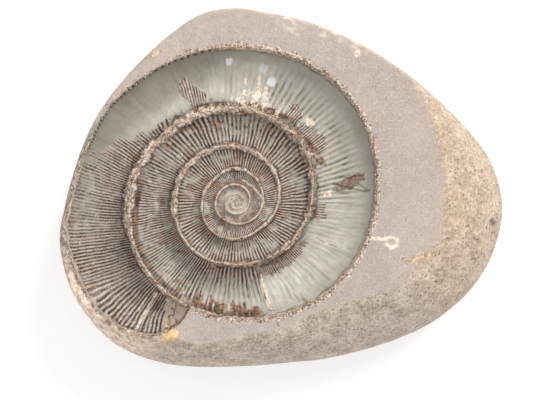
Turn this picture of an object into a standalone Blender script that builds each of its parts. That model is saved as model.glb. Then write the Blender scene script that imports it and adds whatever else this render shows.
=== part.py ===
"""Ammonite fossil: one half of a split stone nodule that holds a ribbed spiral shell.

Two solids in one frame, in metres, +Z up, resting on the worn flat patch under the stone:
  nodule    the rounded pebble half, its split face up, with a shallow socket for the fossil
  ammonite  the mineralised shell in that socket, whose face is the spiral of ribbed troughs

Sizes below are in millimetres. Angles are in degrees, counter-clockwise from +X, and in turns
along the spiral. Radii are measured from the spiral's centre.
"""

import bmesh
import bpy
import numpy as np
from mathutils import Vector, noise

MM = 0.001

# Overall sizes
SPLIT_HEIGHT = 34.0          # the split face above the table
BASE_HALF_LENGTH = 30.0      # worn flat patch under the stone, along X
BASE_HALF_WIDTH = 22.5       # and along Y
SPIRAL_CENTRE = (-11.4, -4.0)
GAP = 0.35                   # clearance between the shell and its socket

# The spiral seam: radius at each eighth of a turn, from three and a half turns in to the last rim.
SEAM_START = -4.0            # in turns; turn 0 is where the last rim passes +X
SEAM_RADII = (
    3.1, 4.1, 4.9, 5.2, 5.4, 5.2, 5.0, 5.6,
    6.5, 7.7, 8.9, 8.5, 8.8, 9.2, 8.8, 8.6,
    10.4, 12.6, 14.5, 15.4, 15.8, 16.0, 15.3, 16.2,
    18.7, 22.2, 23.9, 25.0, 27.2, 28.5, 28.7, 31.8,
    34.9, 39.0, 39.4, 39.9, 43.2, 43.8, 43.0,
)
SPIRAL_START = -3.0          # first modelled section of the shell, in turns
APERTURE_START = 0.59        # where the last whorl starts to close, in turns
SPIRAL_END = 82.0 / 120.0    # where it ends against the whorl inside it, on a column of the stone
APERTURE_BLUNTNESS = 0.45    # below one the end is blunt

# The trough of a whorl: depth as a share of the whorl's width, and its section from seam to seam
TROUGH_DEPTH = 0.50
TROUGH_STATIONS = (0.0, 0.13, 0.60, 1.0)
TROUGH_PROFILE = (0.0, 0.95, 0.78, 0.0)
RIBS_PER_TURN = 120
RIB_HEIGHT = 0.030           # share of the whorl's width
RIM_RISE = 0.25              # the seam ridges stand this far above the split face
CENTRE_DEPTH = 0.6           # the innermost whorls, smooth at this scale

# The buried back of the shell, a shallow dish
BACK_INSET = 1.0
BACK_SHOULDER = 6.0
BACK_FLOOR_SHARE = 0.75
BACK_DEPTH = 11.0

# Outline of the stone seen from above: angle and radius
OUTLINE = (
    (0, 66.9), (10, 64.6), (20, 60.0), (30, 56.0), (40, 53.2), (55, 50.4), (70, 48.9), (80, 48.5),
    (90, 49.2), (100, 48.7), (110, 46.2), (120, 43.9), (130, 42.5), (150, 41.4), (170, 41.8), (180, 43.1),
    (190, 45.2), (200, 46.3), (215, 46.9), (230, 46.4), (240, 45.0), (250, 43.3), (260, 41.6), (270, 40.9),
    (280, 41.1), (290, 42.3), (300, 45.0), (310, 48.3), (320, 52.9), (330, 58.2), (340, 62.9), (350, 65.9),
)
# On the left the pebble's edge is worn lower than the split face, and cuts the last whorl's rim off
EDGE_DROP = 2.2
DROP_SPAN = (150, 174, 204, 230)
# Where the split face ends and the old rounded surface begins: angle and radius
FACE_EDGE = (
    (-180, 48.0), (-155, 46.5), (-140, 44.5), (-130, 40.5), (-120, 36.0), (-110, 36.5), (-98, 34.8),
    (-84, 32.6), (-66, 32.9), (-55, 33.0), (-45, 35.2), (-36, 39.5), (-25, 46.1), (-17, 47.5),
    (-10, 51.3), (4, 52.2), (21, 53.1), (36, 53.6), (50, 56.0), (180, 56.0),
)
EDGE_ROUND = 0.7             # rounding where the split face runs out to the outline
SHELL_MARGIN = 1.2           # stone left outside the shell
WIDEST_HIGH = 27.0           # height of the widest point under a sharp edge
WIDEST_LOW = 16.0            # and under a long rounded flank
LONG_FLANK = 12.0

# Rings of the stone: shares of the flank above the widest point and of the drop below it
FLANK_RINGS = (0.45, 0.80, 1.0)
UNDER_RINGS = (0.35, 0.70, 0.93, 1.0)
LUMP_HEIGHT = 0.6
LUMP_SIZE = 13.0

SHELL_COLUMNS = 2 * RIBS_PER_TURN
STONE_COLUMNS = SHELL_COLUMNS // 2


def smooth_curve(x, knots_x, knots_y):
    """Cubic curve through the knots, its slope at each knot taken from the neighbours on both sides."""
    knots_x = np.asarray(knots_x, dtype=float)
    knots_y = np.asarray(knots_y, dtype=float)
    slopes = np.gradient(knots_y, knots_x)
    x = np.clip(x, knots_x[0], knots_x[-1])
    cell = np.clip(np.searchsorted(knots_x, x, side="right") - 1, 0, len(knots_x) - 2)
    width = knots_x[cell + 1] - knots_x[cell]
    t = (x - knots_x[cell]) / width
    start = (2 * t**3 - 3 * t**2 + 1) * knots_y[cell] + (t**3 - 2 * t**2 + t) * width * slopes[cell]
    end = (3 * t**2 - 2 * t**3) * knots_y[cell + 1] + (t**3 - t**2) * width * slopes[cell + 1]
    return start + end


def smooth_step(t):
    """Ease from 0 to 1 while t goes from 0 to 1."""
    t = np.clip(t, 0.0, 1.0)
    return t * t * (3.0 - 2.0 * t)


def seam_radius(turns):
    """Radius of the spiral seam, smooth in the turn count."""
    knots = SEAM_START + np.arange(len(SEAM_RADII)) / 8.0
    return smooth_curve(turns, knots, SEAM_RADII)


def outline_radius(turns):
    """Radius of the stone's outline, periodic in the turn count."""
    ends = [(angle - 360, radius) for angle, radius in OUTLINE[-2:]]
    starts = [(angle + 360, radius) for angle, radius in OUTLINE[:2]]
    angles, radii = zip(*ends, *OUTLINE, *starts)
    return smooth_curve(np.mod(turns, 1.0) * 360.0, angles, radii)


def edge_drop(turns):
    """How far the worn edge on the left lies below the split face."""
    degrees = np.mod(turns, 1.0) * 360.0
    start, full, still_full, end = DROP_SPAN
    rise = smooth_step((degrees - start) / (full - start))
    fall = smooth_step((end - degrees) / (end - still_full))
    return EDGE_DROP * rise * fall


def face_edge_radius(turns):
    """Radius at which the split face ends, no further out than the outline's rounded edge."""
    degrees = np.mod(np.asarray(turns) * 360.0 + 180.0, 360.0) - 180.0
    angles = [angle for angle, radius in FACE_EDGE]
    radii = [radius for angle, radius in FACE_EDGE]
    edge = smooth_curve(degrees, angles, radii)
    return np.minimum(edge, outline_radius(turns) - EDGE_ROUND)


def rim_radius(turns):
    """Outer radius of the last whorl; straight between the stone's columns, so that both solids agree."""
    columns = np.arange(-STONE_COLUMNS, STONE_COLUMNS + 1) / STONE_COLUMNS
    radii = np.minimum(seam_radius(columns), outline_radius(columns) - SHELL_MARGIN)
    closing = np.clip((columns - APERTURE_START) / (SPIRAL_END - APERTURE_START), 0.0, 1.0)
    inner = seam_radius(SPIRAL_END - 1.0)
    radii = inner + (radii - inner) * (1.0 - closing**2) ** APERTURE_BLUNTNESS
    return np.interp(turns, columns, radii)


def socket_gap(turns):
    """Radial gap round the shell that leaves GAP square to the rim, also where the rim turns inward."""
    step = 1.0 / STONE_COLUMNS
    first = SPIRAL_END - 1.0
    radius = rim_radius(turns)
    before = rim_radius(first + np.mod(turns - step - first, 1.0))
    after = rim_radius(turns + step)
    steepness = max(abs(radius - before), abs(after - radius)) / (2.0 * np.pi * step * radius)
    return GAP * np.hypot(1.0, steepness)


def whorl_point_radius(turns, share):
    """Radius at a share of the way from the inner seam to the outer one."""
    inner = seam_radius(turns - 1.0)
    if turns > SPIRAL_END - 1.0:
        outer = rim_radius(turns)
    else:
        outer = seam_radius(turns)
    return inner + (outer - inner) * share


def polar_point(turns, radius, height):
    """A point in metres from a turn count, a radius from the spiral's centre and a height."""
    angle = 2.0 * np.pi * turns
    x = SPIRAL_CENTRE[0] + radius * np.cos(angle)
    y = SPIRAL_CENTRE[1] + radius * np.sin(angle)
    return Vector((x, y, height)) * MM


def shell_point(column, row):
    """One point of the shell's face: a seam ridge at each side, a ribbed trough between them."""
    turns = SPIRAL_START + column / SHELL_COLUMNS
    share = TROUGH_STATIONS[row]
    radius = whorl_point_radius(turns, share)
    width = whorl_point_radius(turns, 1.0) - whorl_point_radius(turns, 0.0)
    depth = TROUGH_DEPTH * width * TROUGH_PROFILE[row]
    if 0 < row < len(TROUGH_STATIONS) - 1:
        rib = RIB_HEIGHT * width * (1.0 if column % 2 else -1.0)
        depth = depth - rib
    if turns > SPIRAL_END - 1.0:
        depth = depth + float(edge_drop(turns)) * share**2
    return polar_point(turns, radius, SPLIT_HEIGHT + RIM_RISE - depth)


def back_rings(turns, gap_out, gap_down):
    """Radius and height of the rings under the shell's rim, or of its socket with the gaps added."""
    rim = rim_radius(turns)
    floor = SPLIT_HEIGHT - BACK_DEPTH - gap_down
    return (
        (rim - BACK_INSET + gap_out, SPLIT_HEIGHT - BACK_SHOULDER - gap_down),
        (rim * BACK_FLOOR_SHARE + gap_out, floor),
    )


def add_ring_faces(mesh, ring, next_ring):
    """Quads between two closed rings that have the same number of points."""
    count = len(ring)
    for i in range(count):
        j = (i + 1) % count
        mesh.faces.new((ring[i], ring[j], next_ring[j], next_ring[i]))


def add_fan(mesh, ring, centre):
    """Triangles from a closed ring to one point."""
    count = len(ring)
    for i in range(count):
        mesh.faces.new((ring[i], ring[(i + 1) % count], centre))


def finish_mesh(mesh, name, material, collection):
    """Turn every face outward and link the mesh as one object."""
    bmesh.ops.triangulate(mesh, faces=mesh.faces[:])
    bmesh.ops.recalc_face_normals(mesh, faces=mesh.faces[:])
    data = bpy.data.meshes.new(name)
    mesh.to_mesh(data)
    mesh.free()
    data.materials.append(material)
    part = bpy.data.objects.new(name, data)
    collection.objects.link(part)
    return part


def make_ammonite(material, collection):
    """The spiral shell: a strip of troughs that shares its seams from turn to turn, over a dished back."""
    mesh = bmesh.new()
    last_row = len(TROUGH_STATIONS) - 1
    last_column = round((SPIRAL_END - SPIRAL_START) * SHELL_COLUMNS)
    points = {}
    for column in range(last_column):
        for row in range(last_row):
            points[column, row] = mesh.verts.new(shell_point(column, row))
    points[last_column, 0] = mesh.verts.new(shell_point(last_column, 0))
    for row in range(1, last_row):
        points[last_column, row] = points[last_column, 0]
    for column in range(last_column + 1):
        if column + SHELL_COLUMNS <= last_column:
            points[column, last_row] = points[column + SHELL_COLUMNS, 0]
        elif column < last_column:
            points[column, last_row] = mesh.verts.new(shell_point(column, last_row))
        else:
            points[column, last_row] = points[last_column, 0]

    # The face of every whorl
    for column in range(last_column):
        for row in range(last_row):
            corners = [points[column, row], points[column + 1, row]]
            corners += [points[column + 1, row + 1], points[column, row + 1]]
            distinct = list(dict.fromkeys(corners))
            if len(distinct) > 2:
                mesh.faces.new(distinct)

    # The innermost whorls, closed by a shallow cone
    inner_ring = [points[column, 0] for column in range(SHELL_COLUMNS + 1)]
    inner_ring += [points[0, row] for row in range(last_row - 1, 0, -1)]
    hub = mesh.verts.new(polar_point(0.0, 0.0, SPLIT_HEIGHT - CENTRE_DEPTH))
    add_fan(mesh, inner_ring, hub)

    # The buried back
    rim_columns = range(last_column - SHELL_COLUMNS, last_column)
    rings = [[points[column, last_row] for column in rim_columns]]
    for level in range(2):
        ring = []
        for column in rim_columns:
            turns = SPIRAL_START + column / SHELL_COLUMNS
            radius, height = back_rings(turns, 0.0, 0.0)[level]
            ring.append(mesh.verts.new(polar_point(turns, radius, height)))
        rings.append(ring)
    for ring, next_ring in zip(rings, rings[1:]):
        add_ring_faces(mesh, ring, next_ring)
    back = mesh.verts.new(polar_point(0.0, 0.0, SPLIT_HEIGHT - BACK_DEPTH))
    add_fan(mesh, rings[-1], back)
    return finish_mesh(mesh, "ammonite", material, collection)


def lump(point, strength):
    """A point of the stone's old surface, moved along its radius by soft lumps."""
    size = LUMP_SIZE * MM
    swell = noise.noise(point / size) + 0.5 * noise.noise(point * 2.3 / size)
    outward = Vector((point.x, point.y, 0.0)).normalized()
    return point + outward * (swell * LUMP_HEIGHT * strength * MM)


def stone_column(turns):
    """The points of one section of the stone, from the socket's floor over the edge to the base."""
    rim = float(rim_radius(turns))
    edge = float(face_edge_radius(turns))
    widest = float(outline_radius(turns))
    flank = widest - edge
    gap = float(socket_gap(turns))
    edge = max(edge, rim + gap + GAP)
    widest_height = WIDEST_HIGH - (WIDEST_HIGH - WIDEST_LOW) * min(1.0, flank / LONG_FLANK)
    (shoulder_radius, shoulder_height), (floor_radius, floor_height) = back_rings(turns, gap, GAP)
    rim_height = SPLIT_HEIGHT - float(edge_drop(turns))
    section = [
        polar_point(turns, floor_radius, floor_height),
        polar_point(turns, shoulder_radius, shoulder_height),
        polar_point(turns, rim + gap, rim_height),
        polar_point(turns, edge, rim_height),
    ]
    for share in FLANK_RINGS:
        drop = (1.0 - share**1.4) ** (1.0 / 1.7)
        height = widest_height + (rim_height - widest_height) * drop
        point = polar_point(turns, edge + (widest - edge) * share, height)
        section.append(lump(point, share * (1.0 - share) * 4.0 * min(1.0, flank / LONG_FLANK)))
    rim_point = section[-1]
    angle = np.arctan2(rim_point.y / BASE_HALF_WIDTH, rim_point.x / BASE_HALF_LENGTH)
    base = Vector((BASE_HALF_LENGTH * np.cos(angle), BASE_HALF_WIDTH * np.sin(angle), 0.0)) * MM
    for share in UNDER_RINGS:
        inward = 1.0 - (1.0 - share**2) ** 0.5
        point = rim_point.lerp(base, inward)
        point.z = rim_point.z * (1.0 - share)
        section.append(lump(point, share * (1.0 - share) * 4.0))
    return section


def make_nodule(material, collection):
    """The stone: sections round the spiral's centre, joined to each other and closed at both ends."""
    mesh = bmesh.new()
    first = SPIRAL_END - 1.0
    sections = []
    for column in range(STONE_COLUMNS):
        section = stone_column(first + column / STONE_COLUMNS)
        sections.append([mesh.verts.new(point) for point in section])
    rings = list(zip(*sections))
    for ring, next_ring in zip(rings, rings[1:]):
        add_ring_faces(mesh, ring, next_ring)
    socket_floor = mesh.verts.new(polar_point(0.0, 0.0, SPLIT_HEIGHT - BACK_DEPTH - GAP))
    add_fan(mesh, rings[0], socket_floor)
    mesh.faces.new(rings[-1])
    return finish_mesh(mesh, "nodule", material, collection)


def principled(name, colour, roughness):
    """A plain dielectric material."""
    material = bpy.data.materials.new(name)
    material.use_nodes = True
    shader = material.node_tree.nodes["Principled BSDF"]
    shader.inputs["Base Color"].default_value = (*colour, 1.0)
    shader.inputs["Roughness"].default_value = roughness
    shader.inputs["Metallic"].default_value = 0.0
    return material


def centre_over_origin(parts):
    """Move the parts together so that their common box stands centred on the origin, on z = 0."""
    corners = np.array([vertex.co for part in parts for vertex in part.data.vertices])
    low = corners.min(axis=0)
    high = corners.max(axis=0)
    shift = Vector((-(low[0] + high[0]) / 2.0, -(low[1] + high[1]) / 2.0, -low[2]))
    for part in parts:
        for vertex in part.data.vertices:
            vertex.co += shift


def main():
    for leftover in list(bpy.data.objects):
        bpy.data.objects.remove(leftover, do_unlink=True)
    collection = bpy.data.collections.new("ammonite_fossil")
    bpy.context.scene.collection.children.link(collection)
    stone = principled("nodule_stone", (0.60, 0.53, 0.47), 0.85)
    shell = principled("shell_mineral", (0.33, 0.28, 0.24), 0.55)
    parts = [make_nodule(stone, collection), make_ammonite(shell, collection)]
    centre_over_origin(parts)


main()
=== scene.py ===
"""The looks of the ammonite fossil: a split stone nodule and the ribbed spiral shell in its face."""

from types import SimpleNamespace

import bpy
import numpy as np
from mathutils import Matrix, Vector


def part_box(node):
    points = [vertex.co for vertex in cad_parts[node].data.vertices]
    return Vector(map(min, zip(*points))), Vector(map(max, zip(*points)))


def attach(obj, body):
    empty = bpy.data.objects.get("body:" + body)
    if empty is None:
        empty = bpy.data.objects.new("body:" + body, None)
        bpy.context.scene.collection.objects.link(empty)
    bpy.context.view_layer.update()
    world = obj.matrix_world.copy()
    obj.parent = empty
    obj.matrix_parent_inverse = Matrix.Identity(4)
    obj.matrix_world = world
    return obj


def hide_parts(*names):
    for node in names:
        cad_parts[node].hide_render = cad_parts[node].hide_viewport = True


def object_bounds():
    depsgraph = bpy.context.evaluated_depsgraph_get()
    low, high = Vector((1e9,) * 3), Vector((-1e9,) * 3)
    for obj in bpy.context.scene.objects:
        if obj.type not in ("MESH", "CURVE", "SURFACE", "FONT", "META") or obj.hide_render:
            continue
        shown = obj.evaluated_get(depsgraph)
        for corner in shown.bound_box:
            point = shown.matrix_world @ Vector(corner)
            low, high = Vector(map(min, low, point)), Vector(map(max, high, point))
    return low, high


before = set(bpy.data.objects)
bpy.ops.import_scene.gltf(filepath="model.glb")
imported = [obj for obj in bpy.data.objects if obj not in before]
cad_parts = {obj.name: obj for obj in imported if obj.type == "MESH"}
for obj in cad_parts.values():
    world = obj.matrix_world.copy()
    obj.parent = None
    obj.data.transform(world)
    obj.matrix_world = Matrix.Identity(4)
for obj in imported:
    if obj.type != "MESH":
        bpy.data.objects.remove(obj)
cad_low, cad_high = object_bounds()

# The table and the light. The stone lies on a white table under a large soft light box that stands
# beyond its top edge, and white room light fills the rest.
MM = 0.001
FLOOR_SIZE = 4
FLOOR_WHITE = (0.905, 0.9, 0.915, 1)
FLOOR_ROUGHNESS = 0.9
FLOOR_GLOW = 0.32
ROOM_LIGHT = 0.66

floor_mesh = bpy.data.meshes.new("table_top")
half = FLOOR_SIZE / 2
corners = [(-half, -half, 0), (half, -half, 0), (half, half, 0), (-half, half, 0)]
floor_mesh.from_pydata(corners, [], [(0, 1, 2, 3)])
floor = bpy.data.objects.new("table_top", floor_mesh)
bpy.context.scene.collection.objects.link(floor)
white_paint = bpy.data.materials.new("white_table")
white_paint.use_nodes = True
paint = white_paint.node_tree.nodes["Principled BSDF"]
paint.inputs["Base Color"].default_value = FLOOR_WHITE
paint.inputs["Roughness"].default_value = FLOOR_ROUGHNESS
paint.inputs["Emission Color"].default_value = (1, 1, 1, 1)
paint.inputs["Emission Strength"].default_value = FLOOR_GLOW
floor_mesh.materials.append(white_paint)


def soft_box(name, place, size, power, colour):
    """A square area light at a place in metres, turned towards the middle of the stone."""
    light = bpy.data.lights.new(name, "AREA")
    light.shape = "SQUARE"
    light.size = size
    light.energy = power
    light.color = colour
    lamp = bpy.data.objects.new(name, light)
    lamp.location = place
    aim = Vector((0, 0, 0.02)) - Vector(place)
    lamp.rotation_euler = aim.to_track_quat("-Z", "Y").to_euler()
    bpy.context.scene.collection.objects.link(lamp)


soft_box("key_box", (0.4, 0.57, 0.8), 0.5, 9.2, (1, 0.99, 0.97))
soft_box("fill_box", (-0.45, -0.35, 0.6), 0.6, 1, (0.97, 0.98, 1))

world = bpy.data.worlds.new("white_room")
world.use_nodes = True
sky = world.node_tree.nodes["Background"]
sky.inputs["Color"].default_value = (0.97, 0.98, 1, 1)
sky.inputs["Strength"].default_value = ROOM_LIGHT
bpy.context.scene.world = world
bpy.context.scene.view_settings.view_transform = "Standard"

# The camera looks straight down on the split face. One photo pixel is a quarter of a millimetre there.
PIXEL = 0.25 * MM
PHOTO_WIDTH = 533
PHOTO_CENTRE = (266.5, 200)
BOX_CENTRE_PIXEL = (281.5, 187.5)
CAMERA_DISTANCE = 2.5
SENSOR_WIDTH = 36
SPLIT_HEIGHT = 34

camera_data = bpy.data.cameras.new("top_camera")
camera_data.sensor_width = SENSOR_WIDTH
camera_data.lens = SENSOR_WIDTH * CAMERA_DISTANCE / (PHOTO_WIDTH * PIXEL)
camera = bpy.data.objects.new("top_camera", camera_data)
camera.location = (
    (PHOTO_CENTRE[0] - BOX_CENTRE_PIXEL[0]) * PIXEL,
    (BOX_CENTRE_PIXEL[1] - PHOTO_CENTRE[1]) * PIXEL,
    SPLIT_HEIGHT * MM + CAMERA_DISTANCE,
)
bpy.context.scene.collection.objects.link(camera)
bpy.context.scene.camera = camera

# The nodule: a rounded half pebble of fine grey-tan mudstone. Its split face is smooth and flat, and
# its old outside, which rolls down to the right and along the bottom edge, is sandy and speckled.
BASE_HALF_LENGTH = 30
BASE_HALF_WIDTH = 22.5
# The shell's open end, in turns and in degrees, and how bluntly the whorl closes there
SPIRAL_END = 82 / 120
OPEN_END = 246
APERTURE_START = 0.59
APERTURE_BLUNTNESS = 0.45
# How far the shell stays inside the stone's outline, and the stone's own edges and flanks
SHELL_MARGIN = 1.2
EDGE_ROUND = 0.7
WIDEST_HIGH = 27
WIDEST_LOW = 16
LONG_FLANK = 12
SOCKET_DEPTH = 11.3
LEAST_FACE = 0.7
FLANK_POWERS = (1.4, 1.7)

# Seam radius in millimetres at each eighth of a turn, from the innermost whorl to the last rim
SEAM_START = -7
SEAM_RADII = (
    0.1, 0.15, 0.2, 0.25, 0.3, 0.35, 0.4, 0.45,
    0.5, 0.9, 1.2, 1.4, 1.5, 1.4, 1.3, 1.4,
    1.6, 2, 2.4, 2.7, 2.9, 2.7, 2.5, 2.8,
    3.1, 4.1, 4.9, 5.2, 5.4, 5.2, 5, 5.6,
    6.5, 7.7, 8.9, 8.5, 8.8, 9.2, 8.8, 8.6,
    10.4, 12.6, 14.5, 15.4, 15.8, 16, 15.3, 16.2,
    18.7, 22.2, 23.9, 25, 27.2, 28.5, 28.7, 31.8,
    34.9, 39, 39.4, 39.9, 43.2, 43.8, 43,
)
# The stone's outline and the edge of its split face: angle in degrees and radius
OUTLINE = (
    (0, 66.9), (10, 64.6), (20, 60), (30, 56), (40, 53.2), (55, 50.4), (70, 48.9), (80, 48.5),
    (90, 49.2), (100, 48.7), (110, 46.2), (120, 43.9), (130, 42.5), (150, 41.4), (170, 41.8), (180, 43.1),
    (190, 45.2), (200, 46.3), (215, 46.9), (230, 46.4), (240, 45), (250, 43.3), (260, 41.6), (270, 40.9),
    (280, 41.1), (290, 42.3), (300, 45), (310, 48.3), (320, 52.9), (330, 58.2), (340, 62.9), (350, 65.9),
)
EDGE_DROP = 2.2
DROP_SPAN = (150, 174, 204, 230)
FACE_EDGE = (
    (-180, 48), (-155, 46.5), (-140, 44.5), (-130, 40.5), (-120, 36), (-110, 36.5), (-98, 34.8),
    (-84, 32.6), (-66, 32.9), (-55, 33), (-45, 35.2), (-36, 39.5), (-25, 46.1), (-17, 47.5),
    (-10, 51.3), (4, 52.2), (21, 53.1), (36, 53.6), (50, 56), (180, 56),
)
STONE_COLUMNS = 720
FACE_ROWS = 34
FLANK_ROWS = 40
UNDER_ROWS = 52


def smooth_curve(x, knots_x, knots_y):
    """Cubic curve through the knots, its slope at each knot taken from the neighbours on both sides."""
    knots_x = np.asarray(knots_x, dtype=float)
    knots_y = np.asarray(knots_y, dtype=float)
    slopes = np.gradient(knots_y, knots_x)
    x = np.clip(x, knots_x[0], knots_x[-1])
    cell = np.clip(np.searchsorted(knots_x, x, side="right") - 1, 0, len(knots_x) - 2)
    width = knots_x[cell + 1] - knots_x[cell]
    t = (x - knots_x[cell]) / width
    start = (2 * t**3 - 3 * t**2 + 1) * knots_y[cell] + (t**3 - 2 * t**2 + t) * width * slopes[cell]
    end = (3 * t**2 - 2 * t**3) * knots_y[cell + 1] + (t**3 - t**2) * width * slopes[cell + 1]
    return start + end


def ease(t):
    """Ease from 0 to 1 while t goes from 0 to 1."""
    t = np.clip(t, 0, 1)
    return t * t * (3 - 2 * t)


def rise(value, start, width):
    """Ease from 0 to 1 over a width from a start on."""
    return ease((value - start) / width)


def fall(value, end, width):
    """Ease from 1 to 0 over a width up to an end."""
    return ease((end - value) / width)


def hump(value, middle, width):
    """Bell curve: 1 at the middle, and e to the minus 1 a width away from it."""
    return np.exp(-(((value - middle) / width) ** 2))


def strongest(*values):
    """The highest of several mask values at each point."""
    most = 0
    for value in values:
        most = np.maximum(most, value)
    return most


# Large odd numbers that scramble a corner's place and a seed into a random value
PLACE_KEYS = (73856093, 19349663, 83492791)
SEED_KEY = 2654435761
MIXING_STEPS = ((13, 1274126177), (15, 2246822519))
LOW_BITS = 0xFFFFFFFF


def lattice_noise(x, y, z, seed):
    """Noise from -1 to 1: a random value at each whole-number corner, eased between the eight corners."""
    low = [np.floor(axis).astype(np.int64) for axis in (x, y, z)]
    eased = [ease(axis - floor_of) for axis, floor_of in zip((x, y, z), low)]
    total = 0
    for corner in range(8):
        step = (corner & 1, corner >> 1 & 1, corner >> 2 & 1)
        mixed = seed * SEED_KEY
        share = 1
        for axis in range(3):
            mixed = mixed ^ (low[axis] + step[axis]) * PLACE_KEYS[axis]
            share = share * (eased[axis] if step[axis] else 1 - eased[axis])
        for shift, key in MIXING_STEPS:
            mixed = (mixed ^ mixed >> shift) * key & LOW_BITS
        value = (mixed >> 8 & 0xFFFF) / 32767.5 - 1
        total = total + share * value
    return total


def grain(x, y, z, size, seed, octaves=3):
    """Layered noise of a grain size in millimetres; each layer is half as large and half as strong."""
    total = 0
    for layer in range(octaves):
        scale = 2**layer / size
        total = total + lattice_noise(x * scale, y * scale, z * scale, seed + layer) / 2**layer
    return total / 1.5


def face_grain(x, y, size, seed, octaves=3):
    """The same noise on the level split face."""
    return grain(x, y, 0 * x, size, seed, octaves)


def seam_radius(turns):
    """Radius of the spiral seam, smooth in the turn count."""
    knots = SEAM_START + np.arange(len(SEAM_RADII)) / 8
    return smooth_curve(turns, knots, SEAM_RADII)


def outline_radius(turns):
    """Radius of the stone's outline, periodic in the turn count."""
    ends = [(angle - 360, radius) for angle, radius in OUTLINE[-2:]]
    starts = [(angle + 360, radius) for angle, radius in OUTLINE[:2]]
    angles, radii = zip(*ends, *OUTLINE, *starts)
    return smooth_curve(np.mod(turns, 1) * 360, angles, radii)


def edge_drop(turns):
    """How far the worn edge on the left lies below the split face."""
    degrees = np.mod(turns, 1) * 360
    start, full, still_full, end = DROP_SPAN
    return EDGE_DROP * rise(degrees, start, full - start) * fall(degrees, end, end - still_full)


def face_edge_radius(turns):
    """Radius at which the split face ends, no further out than the outline's rounded edge."""
    degrees = np.mod(np.asarray(turns) * 360 + 180, 360) - 180
    angles = [angle for angle, radius in FACE_EDGE]
    radii = [radius for angle, radius in FACE_EDGE]
    edge = smooth_curve(degrees, angles, radii)
    return np.minimum(edge, outline_radius(turns) - EDGE_ROUND)


def rim_radius(turns):
    """Outer radius of the last whorl, closing bluntly against the whorl inside it at the shell's end."""
    turns = np.asarray(turns, dtype=float)
    radii = np.minimum(seam_radius(turns), outline_radius(turns) - SHELL_MARGIN)
    closing = np.clip((turns - APERTURE_START) / (SPIRAL_END - APERTURE_START), 0, 1)
    inner = seam_radius(SPIRAL_END - 1)
    return inner + (radii - inner) * (1 - closing**2) ** APERTURE_BLUNTNESS


def spiral_centre():
    """The spiral's centre in millimetres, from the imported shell's box and the rim's own lowest corner."""
    turns = np.linspace(SPIRAL_END - 1, SPIRAL_END, 121)
    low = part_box("ammonite")[0]
    rim = rim_radius(turns)
    left = np.min(rim * np.cos(2 * np.pi * turns))
    bottom = np.min(rim * np.sin(2 * np.pi * turns))
    return low[0] / MM - left, low[1] / MM - bottom


SPIRAL_CENTRE = spiral_centre()


def ragged_seam(turns, whorl_rim):
    """Seam or rim radius with the small chips and grains that make its edge uneven."""
    radius = rim_radius(turns) if whorl_rim else seam_radius(turns)
    angle = 2 * np.pi * turns
    x = radius * np.cos(angle)
    y = radius * np.sin(angle)
    chips = face_grain(x, y, 1.6, 11)
    amount = np.clip(radius * 0.016, 0.02, 0.26)
    return radius - amount * (0.5 + 0.5 * chips)


def add_surface(name, points, faces, masks):
    """One mesh object from a point array in millimetres, quads and triangles, and named mask values."""
    mesh = bpy.data.meshes.new(name)
    mesh.from_pydata((points * MM).tolist(), [], faces)
    mesh.shade_smooth()
    for mask, values in masks.items():
        layer = mesh.attributes.new(mask, "FLOAT", "POINT")
        layer.data.foreach_set("value", np.clip(values, 0, 1).astype(np.float32).ravel())
    mesh.update()
    piece = bpy.data.objects.new(name, mesh)
    bpy.context.scene.collection.objects.link(piece)
    return piece


def closed_faces(columns, rows):
    """Quads of a grid closed along its columns, and a face over each end; point (c, r) is c * rows + r."""
    column = np.arange(columns)[:, None]
    row = np.arange(rows - 1)[None, :]
    here = column * rows + row
    beside = (column + 1) % columns * rows + row
    faces = np.stack([here, here + 1, beside + 1, beside], axis=-1).reshape(-1, 4).tolist()
    faces.append((np.arange(columns) * rows).tolist())
    faces.append((np.arange(columns)[::-1] * rows + rows - 1).tolist())
    return faces


def spot(x, y, degrees, radius, along_half, across_half, lean, seed, torn):
    """Mask of one oval patch: 1 inside, 0 outside, its edge broken up by grain and by a torn value.

    It lies at an angle and a radius from the spiral's centre, with its half lengths along and across
    the circle in millimetres, turned by lean degrees.
    """
    angle = np.radians(degrees)
    across_x = x - radius * np.cos(angle)
    across_y = y - radius * np.sin(angle)
    turn = angle + np.pi / 2 + np.radians(lean)
    along = across_x * np.cos(turn) + across_y * np.sin(turn)
    across = -across_x * np.sin(turn) + across_y * np.cos(turn)
    distance = np.sqrt((along / along_half) ** 2 + (across / across_half) ** 2)
    distance = distance + 0.4 * face_grain(x, y, min(along_half, across_half) * 0.8, seed, 4) + torn
    return 1 - rise(distance, 0.85, 0.22)


def window(value, start, end, soft):
    """1 between two limits, easing to 0 outside them over a soft width."""
    return ease((value - start) / soft + 0.5) * ease((end - value) / soft + 0.5)


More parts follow.
